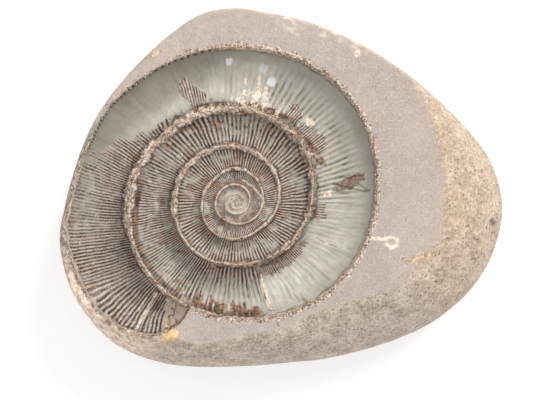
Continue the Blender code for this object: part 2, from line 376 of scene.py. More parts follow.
def stone_grid():
    """Points of the stone as sections round the spiral's centre, rows running out and then under."""
    turns = np.arange(STONE_COLUMNS)[:, None] / STONE_COLUMNS + SPIRAL_END - 1
    rim = ragged_seam(turns, True)
    edge = np.maximum(face_edge_radius(turns), rim + LEAST_FACE)
    widest = outline_radius(turns)
    flank_share = np.clip((widest - edge) / LONG_FLANK, 0, 1)
    widest_height = WIDEST_HIGH - (WIDEST_HIGH - WIDEST_LOW) * flank_share
    floor_height = SPLIT_HEIGHT - SOCKET_DEPTH

    # The hollow under the shell, seen only where the shell is lifted off
    socket_radius = np.concatenate([rim * 0.02, rim * 0.4, rim * 0.75, rim - 0.7, rim - 0.05], axis=1)
    socket_drop = np.array([[0, 0, 0, 5, SOCKET_DEPTH]])
    socket_height = floor_height + socket_drop + 0 * rim
    socket_height[:, -1:] = SPLIT_HEIGHT - edge_drop(turns)

    # The split face
    share = np.linspace(0, 1, FACE_ROWS + 1)[None, 1:] ** 1.2
    face_radius = rim + (edge - rim) * share
    rim_height = SPLIT_HEIGHT - edge_drop(turns)
    face_height = rim_height + 0 * face_radius

    # The rounded flank, down to the widest line
    share = np.linspace(0, 1, FLANK_ROWS + 1)[None, 1:]
    around = np.sin(share * np.pi / 2)
    flank_radius = edge + (widest - edge) * around
    inner_power, outer_power = FLANK_POWERS
    flank_height = (1 - around**inner_power) ** (1 / outer_power)
    flank_height = widest_height + (rim_height - widest_height) * flank_height

    angle = 2 * np.pi * turns
    radius = np.concatenate([socket_radius, face_radius, flank_radius], axis=1)
    heights = np.concatenate([socket_height, face_height, flank_height], axis=1)
    x = radius * np.cos(angle) + SPIRAL_CENTRE[0]
    y = radius * np.sin(angle) + SPIRAL_CENTRE[1]

    # The underside, from the widest line in to the worn flat patch
    around = np.linspace(0, np.pi / 2, UNDER_ROWS + 1)[None, 1:]
    drop = np.sin(around)
    inward = 1 - np.cos(around)
    facing = np.arctan2(y[:, -1:] / BASE_HALF_WIDTH, x[:, -1:] / BASE_HALF_LENGTH)
    under_x = x[:, -1:] + (BASE_HALF_LENGTH * np.cos(facing) - x[:, -1:]) * inward
    under_y = y[:, -1:] + (BASE_HALF_WIDTH * np.sin(facing) - y[:, -1:]) * inward
    under_height = heights[:, -1:] * (1 - drop)
    shrink = np.array([[0.6, 0.2, 0.02]])
    base_x = under_x[:, -1:] * shrink
    base_y = under_y[:, -1:] * shrink
    x = np.concatenate([x, under_x, base_x], axis=1)
    y = np.concatenate([y, under_y, base_y], axis=1)
    z = np.concatenate([heights, under_height, 0 * base_x], axis=1)
    return x, y, z, turns


stone_x, stone_y, stone_z, stone_turns = stone_grid()
from_centre_x = stone_x - SPIRAL_CENTRE[0]
from_centre_y = stone_y - SPIRAL_CENTRE[1]
from_centre = np.hypot(from_centre_x, from_centre_y)
socket_rows = 5


def stone_grain(size, seed, octaves=3):
    """Noise at every point of the stone."""
    return grain(stone_x, stone_y, stone_z, size, seed, octaves)


# How much of the old outside each point has: none on the split face, all past its edge
beyond_edge = from_centre - face_edge_radius(stone_turns)
right_side = ease((from_centre_x - 26 + 0.5 * from_centre_y) / 22)
wander = (0.25 + 0.55 * right_side) * stone_grain(3, 21, 4)
old_skin = ease((beyond_edge + wander + 0.2) / 0.6)
old_skin = np.where(stone_z < SPLIT_HEIGHT - edge_drop(stone_turns) - 1.5, 1, old_skin)

# Soft lumps, sandy pits and open pores on the old outside, a faint waviness on the split face
lumps = stone_grain(14, 31)
pits = stone_grain(1.1, 41)
sand = stone_grain(0.45, 51, 2)
relief = old_skin * (0.25 * lumps - 0.08 - 0.22 * np.clip(pits - 0.25, 0, 1) * 2 + 0.05 * sand)
relief = relief + (1 - old_skin) * (0.06 * lumps - 0.05 + 0.02 * sand)
on_base = rise(stone_z, 0.2, 2)
seated = np.ones_like(stone_z)
seated[:, :socket_rows] = 0
outward = np.maximum(np.hypot(stone_x, stone_y), 1)
tilt = ease((SPLIT_HEIGHT - stone_z) / 10)
stone_x = stone_x + relief * seated * on_base * tilt * stone_x / outward
stone_y = stone_y + relief * seated * on_base * tilt * stone_y / outward
stone_z = stone_z + relief * seated * on_base * (1 - tilt)

# Marks on the stone: angle and radius, half lengths along and across, lean, seed
CREAM_MARKS = (
    (51.4, 48.4, 0.9, 0.8, 25, 203), (229.4, 41.2, 1, 0.7, 0, 207), (180.5, 40.8, 1.7, 1.1, 0, 208),
)
SMEARS = (
    (74, 46.6, 3.2, 1.7, -20, 204), (55, 49.4, 5, 1.1, 4, 205), (64, 47.6, 1.6, 1, 0, 206),
)
OCHRE_MARKS = ((118, 42.8, 2, 0.6, 0, 214),)
AMBER_MARKS = (
    (243.4, 36.4, 2, 1.7, 30, 213), (241.6, 38.8, 1.3, 0.5, 30, 215),
)
DARK_MARKS = (
    (356, 64.4, 0.7, 1, 0, 221), (347, 61, 0.5, 0.5, 0, 225), (354.4, 58, 0.35, 0.3, 0, 226),
)
# Marks drawn along straight runs: points in millimetres from the spiral's centre, half width, seed
CREAM_LINES = (
    (
        ((33.5, -8.4), (37, -8.9), (38.3, -8.2), (40.1, -8.9), (40.1, -10.4), (38.5, -10.9), (37.2, -10.2)),
        0.42, 231,
    ),
)
OCHRE_LINES = (
    (((40.8, -13.4), (42.6, -14.3)), 0.5, 232), (((43.8, -13.8), (46.2, -12.9), (49.2, -12.7)), 0.7, 233),
)
DARK_LINES = (
    (((59.4, -8), (61, -10)), 0.2, 234), (((9.4, -27.6), (10.4, -30.6)), 0.16, 236),
)


def marks(table, x, y, torn=0):
    """The strongest of several oval patches at each point."""
    return strongest(*(spot(x, y, *patch, torn) for patch in table))


def line_mark(x, y, path, width, seed):
    """Mask of a crack along straight runs; path holds millimetres from the spiral's centre."""
    nearest = 1000 + 0 * x
    for (from_x, from_y), (to_x, to_y) in zip(path, path[1:]):
        run_x = to_x - from_x
        run_y = to_y - from_y
        along = ((x - from_x) * run_x + (y - from_y) * run_y) / (run_x**2 + run_y**2)
        along = np.clip(along, 0, 1)
        nearest = np.minimum(nearest, np.hypot(x - from_x - run_x * along, y - from_y - run_y * along))
    ragged = width * (1 + 0.9 * face_grain(x, y, 0.9, seed))
    return ease((ragged - nearest) / (0.6 * width) + 0.5)


def line_marks(table, x, y):
    """The strongest of several cracks at each point."""
    return strongest(*(line_mark(x, y, path, width, seed) for path, width, seed in table))


def stone_marks(patches, lines=()):
    """Patches and cracks of one kind on the stone."""
    place = (from_centre_x, from_centre_y)
    return np.maximum(marks(patches, *place), line_marks(lines, *place))


above = rise(stone_z, 26, 3)
rim_distance = from_centre - rim_radius(stone_turns)
stone_degrees = np.mod(stone_turns, 1) * 360 + 0 * stone_x
crumbs = face_grain(stone_x, stone_y, 0.9, 61, 2)
crust = 1 - ease((rim_distance - 0.6 + 0.8 * crumbs) / 0.5)
crust = crust * (stone_z > SPLIT_HEIGHT - 1) * (1 - window(stone_degrees, 112, OPEN_END, 16))
border = hump(beyond_edge, 0.6, 1.6) * (0.5 + 0.5 * stone_grain(2.5, 71))
border = border * (0.15 + 0.85 * right_side) * fall(from_centre_y, 26, 6)
near_edge = rise(rim_distance, -0.2, 0.3)
near_edge = near_edge * ease((stone_z - 22 + 7 * stone_grain(5, 64, 4)) / 4)
ragged = 1 - ease((rim_distance - 0.5 - 0.7 * crumbs) / 0.5)
stained = window(stone_degrees, 184, 240, 8) * ragged
stained = np.maximum(window(stone_degrees, 152, 200, 18), stained)
worn_off = ease((0.6 + face_grain(stone_x, stone_y, 1.8, 63, 4)) / 0.8)
close_to_shell = np.exp(-np.clip(rim_distance, 0, 40) / 5)
stone_masks = {
    "old_skin": old_skin,
    "cream": stone_marks(CREAM_MARKS, CREAM_LINES) * above,
    "smear": stone_marks(SMEARS) * above * worn_off,
    "ochre": np.maximum(stone_marks(OCHRE_MARKS, OCHRE_LINES), 0.7 * border) * above,
    "amber": stone_marks(AMBER_MARKS) * above,
    "dark": stone_marks(DARK_MARKS, DARK_LINES) * rise(stone_z, 8, 6),
    "crust": crust,
    "sunny": right_side,
    "cool": close_to_shell * (1 - window(stone_degrees, 92, 190, 24)),
    "fringe": window(stone_degrees, 196, 240, 18) * near_edge,
    "stained": stained * near_edge,
}
stone_points = np.stack([stone_x, stone_y, stone_z], axis=-1)
stone_points = np.clip(stone_points, np.array(cad_low) / MM, np.array(cad_high) / MM)
stone_faces = closed_faces(STONE_COLUMNS, stone_points.shape[1])
nodule = add_surface("split_nodule", stone_points.reshape(-1, 3), stone_faces, stone_masks)
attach(nodule, "root")
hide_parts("nodule")


def node(tree, kind, **settings):
    """A shader node with its plain settings."""
    made = tree.nodes.new(kind)
    for name, value in settings.items():
        setattr(made, name, value)
    return made


def feed(tree, source, socket):
    """Join an output to a socket, or set the socket to a plain value."""
    if isinstance(source, bpy.types.NodeSocket):
        tree.links.new(source, socket)
    elif isinstance(source, tuple) and len(source) == 3:
        socket.default_value = (*source, 1)
    else:
        socket.default_value = source


def blend(tree, factor, first, second):
    """Mix two colours by a factor."""
    made = node(tree, "ShaderNodeMix", data_type="RGBA")
    feed(tree, factor, made.inputs["Factor"])
    feed(tree, first, made.inputs[6])
    feed(tree, second, made.inputs[7])
    return made.outputs[2]


def mask(tree, name):
    """One of the piece's mask values."""
    return node(tree, "ShaderNodeAttribute", attribute_name=name).outputs["Fac"]


def maths(tree, operation, first, second):
    """One arithmetic step."""
    made = node(tree, "ShaderNodeMath", operation=operation)
    feed(tree, first, made.inputs[0])
    feed(tree, second, made.inputs[1])
    return made.outputs[0]


def pattern_group(name, inputs, output):
    """An empty node group of plain numbers, its sockets, and the object's own coordinates in it."""
    group = bpy.data.node_groups.new(name, "ShaderNodeTree")
    for label in inputs:
        group.interface.new_socket(label, in_out="INPUT", socket_type="NodeSocketFloat")
    group.interface.new_socket(output, in_out="OUTPUT", socket_type="NodeSocketFloat")
    inside = group.nodes.new("NodeGroupInput").outputs
    outside = group.nodes.new("NodeGroupOutput").inputs[output]
    return group, inside, outside, group.nodes.new("ShaderNodeTexCoord").outputs["Object"]


def speckle_group():
    """Mineral grains: layered noise, sharpened between two limits."""
    labels = ("Grain Scale", "Low", "High")
    group, inside, outside, where = pattern_group("mineral_speckle", labels, "Speckle")
    noise = node(group, "ShaderNodeTexNoise")
    noise.inputs["Detail"].default_value = 3
    noise.inputs["Roughness"].default_value = 0.65
    spread = node(group, "ShaderNodeMapRange", interpolation_type="SMOOTHSTEP")
    feed(group, where, noise.inputs["Vector"])
    feed(group, inside["Grain Scale"], noise.inputs["Scale"])
    feed(group, noise.outputs["Fac"], spread.inputs["Value"])
    feed(group, inside["Low"], spread.inputs["From Min"])
    feed(group, inside["High"], spread.inputs["From Max"])
    feed(group, spread.outputs["Result"], outside)
    return group


def dot_group():
    """Single round mineral grains: a share of the cells has a dot, which fades from its middle out."""
    labels = ("Cell Scale", "Filled Share", "Dot Radius")
    group, inside, outside, where = pattern_group("mineral_dots", labels, "Dots")
    cells = node(group, "ShaderNodeTexVoronoi")
    chance = node(group, "ShaderNodeSeparateColor")
    round_off = node(group, "ShaderNodeMapRange", interpolation_type="SMOOTHSTEP")
    round_off.inputs["From Max"].default_value = 0
    feed(group, where, cells.inputs["Vector"])
    feed(group, inside["Cell Scale"], cells.inputs["Scale"])
    feed(group, cells.outputs["Color"], chance.inputs["Color"])
    feed(group, cells.outputs["Distance"], round_off.inputs["Value"])
    feed(group, inside["Dot Radius"], round_off.inputs["From Min"])
    filled = maths(group, "LESS_THAN", chance.outputs["Red"], inside["Filled Share"])
    feed(group, maths(group, "MULTIPLY", filled, round_off.outputs["Result"]), outside)
    return group


SPECKLE = speckle_group()
DOTS = dot_group()


def placed(tree, group, *values):
    """A node group in a material, with its own values."""
    made = node(tree, "ShaderNodeGroup", node_tree=group)
    for socket, value in zip(made.inputs, values):
        socket.default_value = value
    return made.outputs[0]


def speckle(tree, scale, low, high):
    """A speckle of the given grain scale, per metre, rising from 0 to 1 between two noise values."""
    return placed(tree, SPECKLE, scale, low, high)


def dots(tree, scale, share, radius):
    """Scattered dots: cells per metre, the share of them filled, and the dot's radius in cells."""
    return placed(tree, DOTS, scale, share, radius)


def mottled(tree, scale, low, high, first, second):
    """Two colours in a speckle."""
    return blend(tree, speckle(tree, scale, low, high), first, second)


def layered(tree, colour, *layers):
    """Lay colours over one another. A layer is where it shows, how strongly, and its colour.

    Where it shows is a mask's name, or a pattern function followed by its numbers.
    """
    for where, strength, second in layers:
        shown = mask(tree, where) if isinstance(where, str) else where[0](tree, *where[1:])
        colour = blend(tree, maths(tree, "MULTIPLY", shown, strength), colour, second)
    return colour


def start_material(name, specular):
    """A new material, its node tree and its Principled shader."""
    made = bpy.data.materials.new(name)
    made.use_nodes = True
    shader = made.node_tree.nodes["Principled BSDF"]
    shader.inputs["Metallic"].default_value = 0
    shader.inputs["Specular IOR Level"].default_value = specular
    return made, made.node_tree, shader


def add_bump(tree, shader, height, distance):
    """Fine relief from a height value, over a depth in metres."""
    bump = node(tree, "ShaderNodeBump")
    bump.inputs["Distance"].default_value = distance
    bump.inputs["Strength"].default_value = 1
    tree.links.new(height, bump.inputs["Height"])
    tree.links.new(bump.outputs["Normal"], shader.inputs["Normal"])


def stone_material():
    """Mudstone: lavender-tan grey and finely grained where split, sandy, speckled and pitted outside."""
    made, tree, shader = start_material("mudstone", 0.3)
    face = layered(
        tree,
        mottled(tree, 55, 0.35, 0.65, (0.41, 0.335, 0.29), (0.48, 0.4, 0.345)),
        ("cool", 0.8, (0.375, 0.335, 0.315)),
        ((speckle, 420, 0.45, 0.7), 0.35, (0.56, 0.46, 0.38)),
        ((speckle, 330, 0.5, 0.72), 0.35, (0.31, 0.275, 0.26)),
        ((speckle, 2600, 0.42, 0.66), 0.5, (0.56, 0.475, 0.41)),
        ((speckle, 2300, 0.5, 0.68), 0.4, (0.27, 0.22, 0.2)),
        ((dots, 2100, 0.1, 0.6), 0.5, (0.75, 0.68, 0.62)),
        ((dots, 2000, 0.1, 0.6), 0.5, (0.17, 0.14, 0.13)),
    )
    sandy = mottled(tree, 250, 0.35, 0.65, (0.4, 0.33, 0.27), (0.585, 0.495, 0.415))
    warm = mottled(tree, 250, 0.35, 0.65, (0.45, 0.34, 0.245), (0.62, 0.485, 0.365))
    skin = layered(
        tree,
        sandy,
        ("sunny", 1, warm),
        ((speckle, 1000, 0.47, 0.6), 0.5, (0.25, 0.18, 0.13)),
        ((speckle, 1200, 0.5, 0.62), 0.6, (0.7, 0.59, 0.47)),
        ((dots, 1500, 0.14, 0.6), 0.85, (0.86, 0.76, 0.64)),
        ((dots, 1500, 0.3, 0.62), 0.85, (0.11, 0.08, 0.055)),
        ((dots, 700, 0.06, 0.45), 0.8, (0.12, 0.09, 0.07)),
    )
    stain = mottled(tree, 700, 0.4, 0.6, (0.19, 0.145, 0.115), (0.46, 0.37, 0.295))
    stain = layered(tree, stain, ((dots, 1500, 0.25, 0.65), 0.8, (0.66, 0.52, 0.4)))
    tan = mottled(tree, 700, 0.35, 0.6, (0.46, 0.35, 0.26), (0.8, 0.65, 0.51))
    tan = layered(tree, tan, ((dots, 1300, 0.22, 0.6), 0.7, (0.2, 0.14, 0.1)))
    ochre = mottled(tree, 1100, 0.42, 0.58, (0.36, 0.22, 0.125), (0.74, 0.56, 0.38))
    chip = mottled(tree, 1000, 0.36, 0.5, (0.5, 0.38, 0.28), (0.86, 0.76, 0.62))
    amber = mottled(tree, 900, 0.4, 0.6, (0.78, 0.42, 0.13), (0.88, 0.68, 0.38))
    crust = layered(
        tree,
        mottled(tree, 1500, 0.42, 0.56, (0.22, 0.15, 0.12), (0.62, 0.49, 0.4)),
        ((dots, 1500, 0.4, 0.75), 0.95, (0.84, 0.72, 0.62)),
        ((dots, 1700, 0.4, 0.7), 0.95, (0.05, 0.035, 0.03)),
    )
    colour = layered(
        tree,
        face,
        ("old_skin", 1, skin),
        ("fringe", 1, tan),
        ("stained", 1, stain),
        ("ochre", 0.8, ochre),
        ("smear", 0.85, (0.68, 0.58, 0.48)),
        ("cream", 0.9, chip),
        ("amber", 0.95, amber),
        ("crust", 1, crust),
        ("dark", 0.8, (0.1, 0.08, 0.07)),
    )
    tree.links.new(colour, shader.inputs["Base Color"])
    shader.inputs["Roughness"].default_value = 0.82
    fine = speckle(tree, 1500, 0.2, 0.8)
    coarse = speckle(tree, 500, 0.3, 0.75)
    height = maths(tree, "MULTIPLY", coarse, mask(tree, "old_skin"))
    height = maths(tree, "ADD", height, maths(tree, "MULTIPLY", fine, 0.35))
    add_bump(tree, shader, height, 0.00016)
    return made


nodule.data.materials.append(stone_material())

# The ammonite: one shell wound in a flat spiral, split so that each whorl shows as a trough with a
# crumbly seam ridge on both sides. Thin brown ribbed shell still lines most of it, over grey-green
# calcite, and grey stone fills the last corner of its open end.
RIM_RISE = 0.25
TROUGH_DEPTH = 0.5
FOOT_STEEPNESS = 0.35
RISE_ROUNDNESS = (0.7, 0.48)
BACK_DEPTH = 10.8
BACK_INSET = 1.5
THINNEST_WHORL = 0.05
# The brown shell's thickness, as a share of the radius and between two limits
COAT_SHARE = 0.006
COAT_LIMITS = (0.02, 0.18)
# Rib heights as shares of their pitch; how far ribs stray and shell tears from rib to rib
SOFT_RIB = 0.16
CRISP_RIB = 0.15
LONG_WAVER = 0.34
SHORT_WAVER = 0.07
TEAR = 0.22
RIDGE_SHARE = 0.05
RIDGE_LIMITS = (0.1, 1.2)
RIM_CRUST = 0.6
RIDGE_ROUGHNESS = 0.5
CREST_LINE = 0.2
WIDEST_CREST = 21
# Zones of the last whorl, in degrees: where the bare calcite of the lower right starts, and the
# stretch of its rim that has no crust
BARE_FROM = 286
PLAIN_RIM = (96, 160)
# Ribs in each turn at places along the spiral; they crowd together on the left of both outer whorls
RIB_COUNTS = (
    (-7, 30), (-5, 60), (-3, 100), (-1.3, 108), (-0.62, 118), (-0.52, 215), (-0.38, 215), (-0.28, 112),
    (0.05, 125), (0.36, 140), (0.45, 290), (0.7, 290),
)
# How far a rib runs back, in degrees, from the inner seam to the outer one
RIB_LEANS = ((-7, 0), (0.05, 0), (0.15, -4), (0.58, -4), (0.62, 2), (0.67, 5))


def trough_profile(share, roundness):
    """Depth across a whorl: steep from the inner seam to a broad floor, then a rounded rise outwards."""
    shape = share**FOOT_STEEPNESS * (1 - share) ** roundness
    deepest = FOOT_STEEPNESS / (FOOT_STEEPNESS + roundness)
    return shape / (deepest**FOOT_STEEPNESS * (1 - deepest) ** roundness)


def rib_count(turns):
    """Ribs in a full turn at a place along the spiral."""
    return np.interp(turns, [place for place, count in RIB_COUNTS], [count for place, count in RIB_COUNTS])


def rib_phase(turns, share):
    """Number of ribs passed up to a place, from the summed rib counts, with each rib's lean."""
    track = np.linspace(SEAM_START, SPIRAL_END, 4000)
    counts = rib_count(track)
    passed = np.concatenate([[0], np.cumsum(counts[:-1] * np.diff(track))])
    lean = np.interp(turns, [place for place, angle in RIB_LEANS], [angle for place, angle in RIB_LEANS])
    return np.interp(turns - lean * share / 360, track, passed)


def crest_height(turns, radius):
    """Height of a seam ridge above the split face, notched by chips."""
    angle = 2 * np.pi * turns
    chips = grain(radius * np.cos(angle), radius * np.sin(angle), 0 * radius, 1.3, 15, 3)
    size = np.clip(radius / 25, 0.15, 1)
    return RIM_RISE - size * (0.16 + 0.16 * chips)


# Where brown shell is left on the outer whorl, what stains it, and where shadow is painted on it: angle
# and radius, half lengths along and across the whorl, lean, seed
SHELL_PATCHES = (
    (41, 25, 4.4, 3, 0, 301), (57.5, 26.6, 1.9, 2.2, 10, 302), (112, 29.6, 2.6, 5, 26, 303),
    (134, 26.6, 2.9, 1.2, 0, 304), (298, 17.8, 3.4, 1.9, 0, 305), (317, 18.4, 5, 2, 0, 306),
    (354, 20.4, 2.1, 2.3, 0, 307), (238, 22, 2, 6, 24, 309), (266, 17, 6, 1.2, 0, 310),
    (92, 25, 5, 0.7, 0, 311), (73, 25, 4.6, 0.7, 0, 312),
)
# A loose crumpled flake of shell without ribs
FLAKES = ((10.5, 28.6, 1.7, 4.6, 10, 315),)
CREAM_STREAKS = (
    (82, 26.4, 3.8, 1.8, 0, 321), (75, 27.6, 0.9, 3, 8, 322), (66, 26.2, 0.6, 2.2, 0, 323),
    (48, 27.4, 1.4, 1.1, 0, 326), (93.5, 34.4, 0.5, 0.8, -20, 325), (86, 29.6, 0.4, 2.6, 6, 327),
    (79.5, 30.6, 0.4, 2.4, 6, 328), (6, 22.6, 0.7, 1.6, 20, 329),
)
# Paler calcite; the patch at 333 degrees also paints the reflection of the light box in the glossy trough
PALE_AND_REFLECTION_PATCHES = (
    (119, 28.6, 3.8, 2.3, 8, 331), (309, 24.6, 8, 4.6, 0, 332), (333, 27, 9, 5.2, 0, 333),
    (100, 30.6, 3, 3.6, 0, 334), (291, 23.6, 3, 4.4, 0, 335), (45, 29, 6, 3, 0, 336),
)
CHALK_SPOTS = (
    (74, 31.7, 1.05, 1.45, 0, 341), (93, 35.7, 0.8, 1.1, -10, 342),
)
FAINT_SPOTS = ((79, 34.6, 1.1, 1.3, 0, 343),)
RUST_PATCHES = (
    (239.5, 17, 2.6, 1.2, 0, 351), (243, 25.6, 2.6, 1.6, 0, 352), (108, 25.4, 2.6, 1.2, 0, 353),
    (34, 23.4, 5, 1, 0, 354), (70, 24.6, 6, 0.8, 0, 355), (318, 17, 5, 0.9, 0, 356),
)
# Painted shadow: dark patches on the outer whorl
PAINTED_SHADOW_PATCHES = (
    (208, 29.4, 6, 1.5, 0, 361), (60, 24.2, 4, 0.5, 0, 362), (255, 27.4, 5, 0.8, 0, 363),
    (272, 27.6, 4, 0.7, 0, 364),
)
# Cracks: points in millimetres from the spiral's centre, half width, seed
DARK_CRACKS = (
    (((-19.5, -24.2), (-21.4, -27.1), (-24.7, -32.4)), 0.3, 371),
    (((-17.5, -23.1), (-19.5, -25.3), (-20.6, -27.1)), 0.14, 372),
    (((-15.6, -22), (-15.1, -26), (-16.5, -29), (-18, -33.4)), 0.16, 373),
    (((5, -16.6), (5.8, -21), (7.1, -25.4), (9, -27.4)), 0.12, 374),
    (((24.4, 6.3), (26.6, 6.9), (28.5, 6.3)), 0.12, 376),
    (((28.5, 6.3), (29.2, 7), (31.4, 7.1), (31.2, 6.6)), 0.17, 377),
    (((24.3, 5), (26.6, 4.3), (29.6, 3.7), (32.1, 3.1), (33.4, 3.5)), 0.17, 378),
    (((30.5, 5.2), (31.8, 4.1), (33.2, 3.3)), 0.13, 379),
)
CRUMBLE_LINES = (
    (((5.6, -16.6), (6.6, -21), (7.8, -25.4), (9.4, -27.6)), 0.4, 385),
    (((-16.4, -21.6), (-15.8, -25.8), (-17, -29.4), (-18.6, -33.4)), 0.45, 386),
    (((18.3, -7.8), (20, -8.5), (22.3, -9.9), (25, -10.6)), 0.13, 388),
)
WHITE_CRACKS = (
    (((-20.2, -22.6), (-21.6, -24.9), (-24.9, -31)), 0.34, 381),
    (((6, -17.6), (6.8, -21), (8.2, -24.8)), 0.22, 382),
    (((1.7, 5.9), (4.2, 4.2), (6.3, 1.7), (6.7, 0.2)), 0.24, 383),
    (((-22.6, -23.6), (-24.6, -26.6)), 0.22, 384),
)


def outer_cover(at):
    """Masks of what covers the calcite of the last whorl."""
    x, y, radius, degrees, torn = at.x, at.y, at.radius, at.degrees, at.torn
    fuzzy = face_grain(x, y, 2, 81, 4)
    slant = 138 + (radius - 26) * 1.9
    shell = ease((degrees - slant + 4 * fuzzy + 9 * torn) / 2) * (degrees < OPEN_END + 0.5)
    thinning = rise(radius, 31, 6) * fall(degrees, 196, 12)
    shell = shell * (1 - 0.75 * thinning * (0.6 + 0.4 * face_grain(x, y, 1.2, 83)))
    shell = np.maximum(shell, marks(SHELL_PATCHES, x, y, torn))
    lower = rise(degrees, OPEN_END, 2) * fall(degrees, BARE_FROM, 3)
    lower_shell = ease((0.45 + torn + 0.8 * face_grain(x, y, 3.2, 85)) / 0.5)
    shell = np.maximum(shell, lower * lower_shell)
    rust_reach = np.maximum(3.4 + 2.6 * fuzzy, 1.6 + 0.5 * fuzzy)
    rust_band = window(degrees, 240, 283, 6) * ease((rust_reach - at.from_outer) / 0.9)
    streaks = face_grain(1.1 * degrees, 0.45 * radius, 1.6, 89)
    flake = marks(FLAKES, x, y)
    pale = np.maximum(marks(PALE_AND_REFLECTION_PATCHES, x, y), rise(degrees, BARE_FROM, 3) * 0.75)
    pale = np.maximum(pale, 0.7 * fall(degrees, 116, 30))
    pale = pale * (1 - 0.8 * rise(at.share, 0.7, 0.25)) * (0.8 + 0.6 * streaks)
    crumbs = ease((0.5 + 2 * face_grain(x, y, 0.8, 82)) / 0.4)
    cream = np.maximum(marks(CREAM_STREAKS, x, y, torn) * crumbs, line_marks(WHITE_CRACKS, x, y))

    # Grey stone: a strip inside the rim at the upper left, and the corner behind the shell's end
    strip = window(degrees, 100, 170, 12) * ease((0.3 + 0.3 * fuzzy - at.from_outer) / 0.4)
    behind_end = degrees - 232 - 0.99 * (radius - 29.6) + 1.6 * face_grain(x, y, 1.5, 86)
    corner = ease(behind_end / 1.2) * (degrees < OPEN_END + 0.5) * (degrees > 225)
    fringe = window(degrees, 180, OPEN_END, 6) * ease((0.5 + 1.2 * fuzzy - at.from_outer) / 0.5)
    stone = strongest(strip, corner, fringe)
    return {
        "shell": np.maximum(shell, 0.9 * flake) * (1 - stone),
        "smooth": flake,
        "pale": pale,
        "cream": cream,
        "chalk": np.maximum(marks(CHALK_SPOTS, x, y), 0.5 * marks(FAINT_SPOTS, x, y)),
        "rust": strongest(marks(RUST_PATCHES, x, y, 0.5 * torn), rust_band, 0.35 * flake),
        "dark": 0.65 * line_marks(DARK_CRACKS, x, y),
        "shadow": marks(PAINTED_SHADOW_PATCHES, x, y, torn),
        "stone": stone,
    }


def inner_cover(at):
    """Masks of what covers the calcite of the inner whorls, palest at the middle."""
    x, y, radius, degrees = at.x, at.y, at.radius, at.degrees
    fuzzy = face_grain(x, y, 2, 81, 4) + 0.5 * at.torn
    shell = ease((0.6 + fuzzy) / 0.5)
    upper_left = hump(degrees, 148, 20) + hump(degrees, 88, 22)
    shell = shell * (1 - 0.65 * upper_left * ease((0.2 + fuzzy) / 0.4) * (radius > 17))
    pale = hump(degrees, 222, 11) * (radius > 18) * ease((0.4 + fuzzy) / 0.5)
    middle = fall(radius, 4.6, 2.2)
    shell = shell * (1 - 0.8 * pale) * (1 - 0.5 * middle)
    masks = dict.fromkeys(("smooth", "chalk", "dark", "shadow", "stone"), 0 * x)
    masks["shell"] = shell
    masks["pale"] = np.maximum(pale, middle)
    masks["cream"] = np.maximum(0.25 * middle, line_marks(WHITE_CRACKS, x, y))
    masks["rust"] = 0.4 * rise(face_grain(x, y, 2.4, 87, 4), 0.25, 0.4)
    return masks


def ridge_shape(distance, half_width, x, y, seed):
    """How far a point is within a crumbly ridge, and how near the line of painted shadow along its foot."""
    uneven = half_width * (1 + 0.5 * face_grain(x, y, 2.2, seed, 4))
    reach = distance / np.maximum(uneven, 0.3 * half_width)
    reach = reach + 0.45 * face_grain(x, y, 0.7, seed + 40, 2) * np.clip(half_width, 0, 1)
    return 1 - rise(reach, 0.7, 0.5), hump(reach, 1.3, 0.35)


def whorl_grid(first, last, columns, rows, is_outer):
    """The places of a stretch of the spiral, by name.

    Across the band the radius runs from the inner seam to the outer one, closer together near both.
    The chips in a seam fade within about a millimetre of it.
    """
    turns = np.linspace(first, last, columns + 1)[:, None]
    share = np.linspace(0, 1, rows + 1)[None, :]
    share = np.clip(share - 0.2 / np.pi * np.sin(2 * np.pi * share), 0, 1)
    inner = seam_radius(turns - 1)
    outer = rim_radius(turns) if is_outer else seam_radius(turns)
    inner_chips = ragged_seam(turns - 1, False) - inner
    outer_chips = ragged_seam(turns, is_outer) - outer
    outer = np.maximum(outer, inner + THINNEST_WHORL)
    width = outer - inner
    radius = inner + width * share
    radius = radius + inner_chips * (1 - share) * np.exp(-share * width)
    radius = radius + outer_chips * share * np.exp(-(1 - share) * width)
    angle = 2 * np.pi * turns
    return SimpleNamespace(
        is_outer=is_outer,
        turns=turns,
        angle=angle,
        share=share,
        inner=inner,
        outer=outer,
        width=width,
        radius=radius,
        x=radius * np.cos(angle),
        y=radius * np.sin(angle),
        degrees=np.mod(turns * 360, 360) + 0 * radius,
        from_inner=share * width,
        from_outer=(1 - share) * width,
    )


def add_ridges(at):
    """The crumbly ridges along both seams, with a line of painted shadow at the foot of each."""
    thin = 1 - 0.5 * window(at.degrees, 192, 250, 20)
    at.outer_half = np.clip(RIDGE_SHARE * at.outer, *RIDGE_LIMITS) * thin
    if at.is_outer:
        at.outer_half = RIM_CRUST + 0 * at.inner
    at.inner_half = np.clip(RIDGE_SHARE * at.inner, *RIDGE_LIMITS) * thin
    at.outer_ridge, at.outer_foot = ridge_shape(at.from_outer, at.outer_half, at.x, at.y, 97)
    at.inner_ridge, at.inner_foot = ridge_shape(at.from_inner, at.inner_half, at.x, at.y, 98)
    at.unworn = 1 - ease(edge_drop(at.turns) / 0.8) * at.is_outer
    at.crusted = 1 - window(at.degrees, 96, 172, 8) * at.is_outer
    at.outer_ridge = at.outer_ridge * at.unworn


